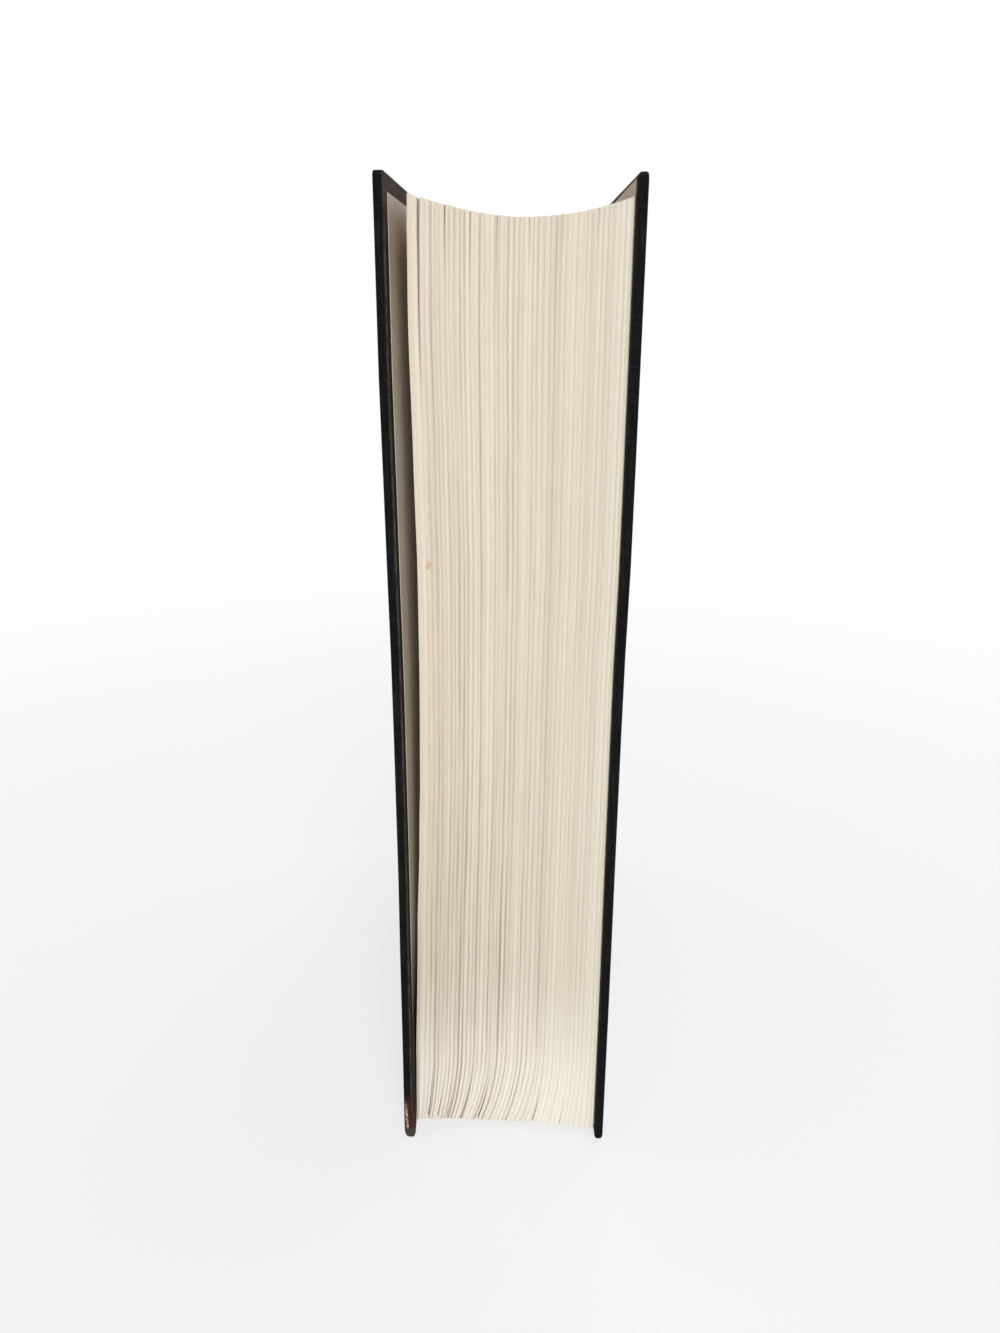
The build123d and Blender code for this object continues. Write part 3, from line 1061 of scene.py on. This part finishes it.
def corner_wear_and_rim_highlight(tint, flat):
    """A painted highlight that lightens the inner rim grey, a corner rubbed brown with flecks of bare
    board, and a tip lightened grey.
    """
    along, level, height = parts_of(flat)
    patchy = noise(flat, 0.25, 3.0)
    scuff = noise(flat, 1.1, 4.0, 0.7)
    dots = noise(flat, 2.4, 2.0, 0.5)
    wobble = spread(noise(flat, 0.7, 2.0, 0.5), 0.3, 0.7, -0.22, 0.22)
    # A painted highlight along the inner rim of the fore-edge
    rim = times(spread(along, 153.0, 153.3), spread(level, 0.7, 0.45),
                spread(patchy, 0.4, 0.6, 0.2, 0.6))
    edge = spread(along, 151.0, 152.8)
    rubbed = times(spread(height, 15.5, 11.0), edge, spread(scuff, 0.3, 0.5), 0.8)
    line = plus(level, wobble)
    bare = times(spread(line, 1.5, 1.65), spread(line, 2.1, 1.95),
                 spread(height, 3.2, 4.2), spread(height, 13.0, 10.0),
                 spread(dots, 0.42, 0.52), edge)
    tip = times(spread(height, 4.2, 3.0), edge, 0.85)
    return coats(tint, (rim, (92, 85, 80)), (rubbed, (78, 48, 42)), (bare, (214, 196, 174)),
                 (tip, (74, 71, 68)))


def cloth_material(name, worn=False):
    """Black book cloth on one piece, in that piece's own flat measures."""
    material, tree, surface = new_material(name)
    flat = carried(tree, "flat_place", "Vector")
    along, level, height = parts_of(flat)
    threads = node(tree, "Group", node_tree=weave)
    fill(threads.inputs["Place"], flat)
    fill(threads.inputs["Pitch"], thread_pitch)
    around = plus(along, level)

    def thread_streaks(along_scale, height_scale):
        """Noise that is drawn out along one set of threads."""
        at = joined(times(around, along_scale), times(height, height_scale))
        return noise(at, 1.0)

    slubs = math("MAXIMUM", thread_streaks(1.9, 0.09), thread_streaks(0.09, 1.9))
    tint = coats(colour(11, 11, 12),
                 (spread(noise(flat, 0.06, 4.0), 0.35, 0.7), (18, 18, 19)),
                 (spread(slubs, 0.52, 0.78, 0.0, 0.85), (44, 43, 44)),
                 (spread(noise(flat, 1.6, 3.0), 0.55, 0.85, 0.0, 0.35), (38, 36, 36)))
    # Painted light: the inner side is painted a lighter grey than the outer cloth, and brown near the head
    # as a painted reflection of the pages.
    turn_in_painted_light = coats(colour(39, 35, 33), (spread(height, 224.0, 234.0), (52, 37, 27)))
    tint = blend_colour(spread(level, 0.42, 0.3), tint, turn_in_painted_light)
    if worn:
        tint = corner_wear_and_rim_highlight(tint, flat)
    relief = plus(threads.outputs["Height"], times(slubs, 3.0))
    roughness = spread(slubs, 0.4, 0.75, 0.62, 0.8)
    set_surface(surface, tint, roughness, 0.05, relief, 0.8, 0.08 * mm)
    return material


cloth_finish = cloth_material("black book cloth")
worn_and_highlit_cloth_finish = cloth_material("black book cloth with a worn corner", worn=True)
print("made", cloth_finish.name, "and", worn_and_highlit_cloth_finish.name)

# %% Dress the covers
def mottled_material(name, light, dark, scale, low=0.35, high=0.65, detail=3.0, roughness=0.65, matt=0.9):
    """A plain finish, mottled between two colours."""
    material, tree, surface = new_material(name)
    mottle = noise(object_place(tree), scale, detail, roughness)
    tint = coats(colour(*light), (spread(mottle, low, high), dark))
    set_surface(surface, tint, matt)
    return material


greyboard = mottled_material("greyboard", (150, 138, 122), (104, 94, 84), 1400.0, 0.4, 0.7,
                             roughness=0.7, matt=0.95)
for side, finish in (("front", worn_and_highlit_cloth_finish), ("back", cloth_finish)):
    body = side + "_cover"
    make_object(side + "_cloth", cover_cloth(side), body, [body + "_cloth"], finish)
    make_object(side + "_greyboard", cover_board(side), body, [side + "_board"], greyboard)
    print(side, "cover is dressed")

# %% [markdown]
# ## Joints
#
# Between the spine and each board the case is only cloth, pressed into a groove, and the endpaper folds
# inside it. Both bend when a cover opens. So each is a folded strip that follows the block at one side
# of the hinge, the cover at the other, and turns smoothly between.

# %% Strips folded at a hinge
bend_start = -0.8 * mm
bend_end = 5.0 * mm
bend_steps = 14


def folded_strip(turns, bevels, bottom, top, thickness):
    """A sheet folded along upright lines, with round folds. Turns and bevels are in millimetres."""
    strip = bmesh.new()
    verts = [strip.verts.new((along * mm, level * mm, bottom)) for along, level in turns]
    chain = [strip.edges.new(pair) for pair in zip(verts[:-1], verts[1:])]
    made = bmesh.ops.extrude_edge_only(strip, edges=chain)
    bmesh.ops.translate(strip, verts=new_verts(made), vec=(0, 0, top - bottom))
    for (along, level), radius in zip(turns[1:-1], bevels):
        fold = [edge for edge in strip.edges
                if all(abs(vert.co.x - along * mm) + abs(vert.co.y - level * mm) < 0.001 * mm
                       for vert in edge.verts)]
        round_off(strip, fold, radius * mm)
    step = (bend_end - bend_start) / bend_steps
    places = [bend_start + share * step for share in range(bend_steps + 1)]
    cut_across(strip, evenly(bottom, top, 8), places)
    bmesh.ops.recalc_face_normals(strip, faces=strip.faces)
    bmesh.ops.solidify(strip, geom=strip.faces[:], thickness=thickness)
    return strip


def bend_strip(name, strip, side, node_name, finish):
    """Stands a strip at its hinge, between the block and the cover."""
    piece = make_object(name, stand_up(strip, side, worn=False), None, [node_name], finish)
    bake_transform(piece)


spine_turns = [(-2.457, 1.667), (-2.34, 1.84), (-1.45, 1.24), (-0.2, 0.52), (4.6, 0.52), (8.0, 2.42),
               (9.0, 2.42)]
spine_bevels = [0.12, 0.3, 0.6, 1.4, 0.7]
fold_bevels = [0.3]
for side, fold_level in (("front", 0.02), ("back", -0.04)):
    strip = folded_strip(spine_turns, spine_bevels, 0.0, cover_top, cloth_thickness)
    bend_strip(side + "_groove_cloth", strip, side, side + "_joint_cloth", cloth_finish)
    fold_turns = [(-1.6, fold_level), (0.0, -0.04), (9.7, -0.04)]
    strip = folded_strip(fold_turns, fold_bevels, end_square, bound_head, paper)
    bend_strip(side + "_fold", strip, side, side + "_endpaper_fold", endpaper)
    print(side, "joint is made")

# %% [markdown]
# ## Spine
#
# The spine of the case is a strip of card in the same cloth, curved like the back of the leaves. It is a
# rounded section spun about the centre of that curve.

# %% Spine of the case
block_radius = (half_leaves**2 + spine_round**2) / (2 * spine_round)
centre = Vector((spine_x, shoulder_y + spine_round - block_radius, 0))
case_inner = block_radius + (0.2 + 0.3 + 0.2) * mm
spine_radius = case_inner + (0.15 + 0.8 + 0.15) * mm
spine_half_angle = radians(33.3)
spine_steps = 28
spine_level = 1.3


def spin_section(section, half_angle, steps):
    """Turns a section to one end of the spine's curve, and spins it to the other."""
    bmesh.ops.rotate(section, verts=section.verts, matrix=Matrix.Rotation(pi / 2 - half_angle, 3, "Z"))
    geometry = section.verts[:] + section.edges[:] + section.faces[:]
    bmesh.ops.spin(section, geom=geometry, cent=(0, 0, 0), axis=(0, 0, 1), angle=2 * half_angle,
                   steps=steps, use_duplicate=False)


def turned_from_middle(point):
    """The angle round the spine's curve, from its middle."""
    return Vector((point.x, point.y)).angle_signed(Vector((0, 1)))


strip = upright_square()
stretch(strip, (spine_radius - case_inner, 1, cover_top), (case_inner, 0, 0))
round_off(strip, strip.verts[:], cloth_rim, segments=4, affect="VERTICES")
spin_section(strip, spine_half_angle, spine_steps)
cut_across(strip, evenly(0, cover_top, 8))
flat = strip.verts.layers.float_vector.new("flat_place")
for vert in strip.verts:
    vert[flat] = (turned_from_middle(vert.co) * spine_radius / mm, spine_level, vert.co.z / mm)
bmesh.ops.translate(strip, verts=strip.verts, vec=centre)
make_object("spine", strip, "book_block", ["spine_cloth"], cloth_finish)
print("the spine has a radius of", round(spine_radius / mm, 1), "mm")

# %% [markdown]
# ## Head and tail bands
#
# A band of thread sits on the head and the tail of the spine. Its threads wrap a cord, so it shows
# as a row of small ribs. A round section is spun, and its rings are drawn in between the ribs.

# %% Ribbed bands
ribs = 46
steps_per_rib = 4
rib_depth = 0.16
band_half_angle = radians(31.0)
band_radius = block_radius - 0.9 * mm


def band(name, height, up, node_name, finish):
    """A ribbed bead along the top or the foot of the spine."""
    bead = bmesh.new()
    core_height = height + up * 0.7 * mm
    bmesh.ops.create_circle(bead, segments=12, radius=1.0 * mm, cap_ends=True)
    bmesh.ops.rotate(bead, verts=bead.verts, matrix=Matrix.Rotation(pi / 2, 3, "X"))
    stretch(bead, (1.05, 1, 0.8), (band_radius, 0, core_height))
    spin_section(bead, band_half_angle, ribs * steps_per_rib)
    rib_layer = bead.verts.layers.float.new("rib")
    for vert in bead.verts:
        rib = (turned_from_middle(vert.co) + band_half_angle) / (2 * band_half_angle) * ribs
        core = Vector((vert.co.x, vert.co.y, 0)).normalized() * band_radius
        core.z = core_height
        vert.co = core + (vert.co - core) * (1 - rib_depth * cos(2 * pi * rib) ** 2)
        vert[rib_layer] = rib
    bmesh.ops.translate(bead, verts=bead.verts, vec=centre)
    make_object(name, bead, "book_block", [node_name], finish)


def band_material():
    """Cream thread with a soft shine, and painted shade in the grooves between its ribs."""
    material, tree, surface = new_material("band thread")
    painted_rib_shading = math("PINGPONG", carried(tree, "rib"), 0.5)
    fuzz = noise(object_place(tree), 2600.0, 3.0)
    # Painted shade: the colour darkens into the grooves between the ribs
    tint = coats(colour(168, 152, 128), (spread(painted_rib_shading, 0.0, 0.35), (228, 216, 196)),
                 (spread(fuzz, 0.5, 0.8, 0.0, 0.3), (188, 172, 150)))
    set_surface(surface, tint, 0.55, relief=fuzz, strength=0.3, depth=0.04 * mm)
    return material


thread = band_material()
band("headband_bead", bound_head, 1, "headband", thread)
band("tailband_bead", end_square, -1, "tailband", thread)
print("bands have", ribs, "ribs")

# %% Linings of the spine
linings = (
    ("spine_gauze", "gauze", (226, 222, 210), (196, 190, 176), 1800.0),
    ("spine_lining", "kraft paper", (176, 148, 116), (150, 122, 92), 700.0),
    ("spine_inlay", "card", (168, 156, 138), (146, 134, 116), 1100.0),
)
for node_name, *finish in linings:
    mesh = frame["nodes"][node_name].data
    mesh.materials.clear()
    mesh.materials.append(mottled_material(*finish))
print("linings are dressed")
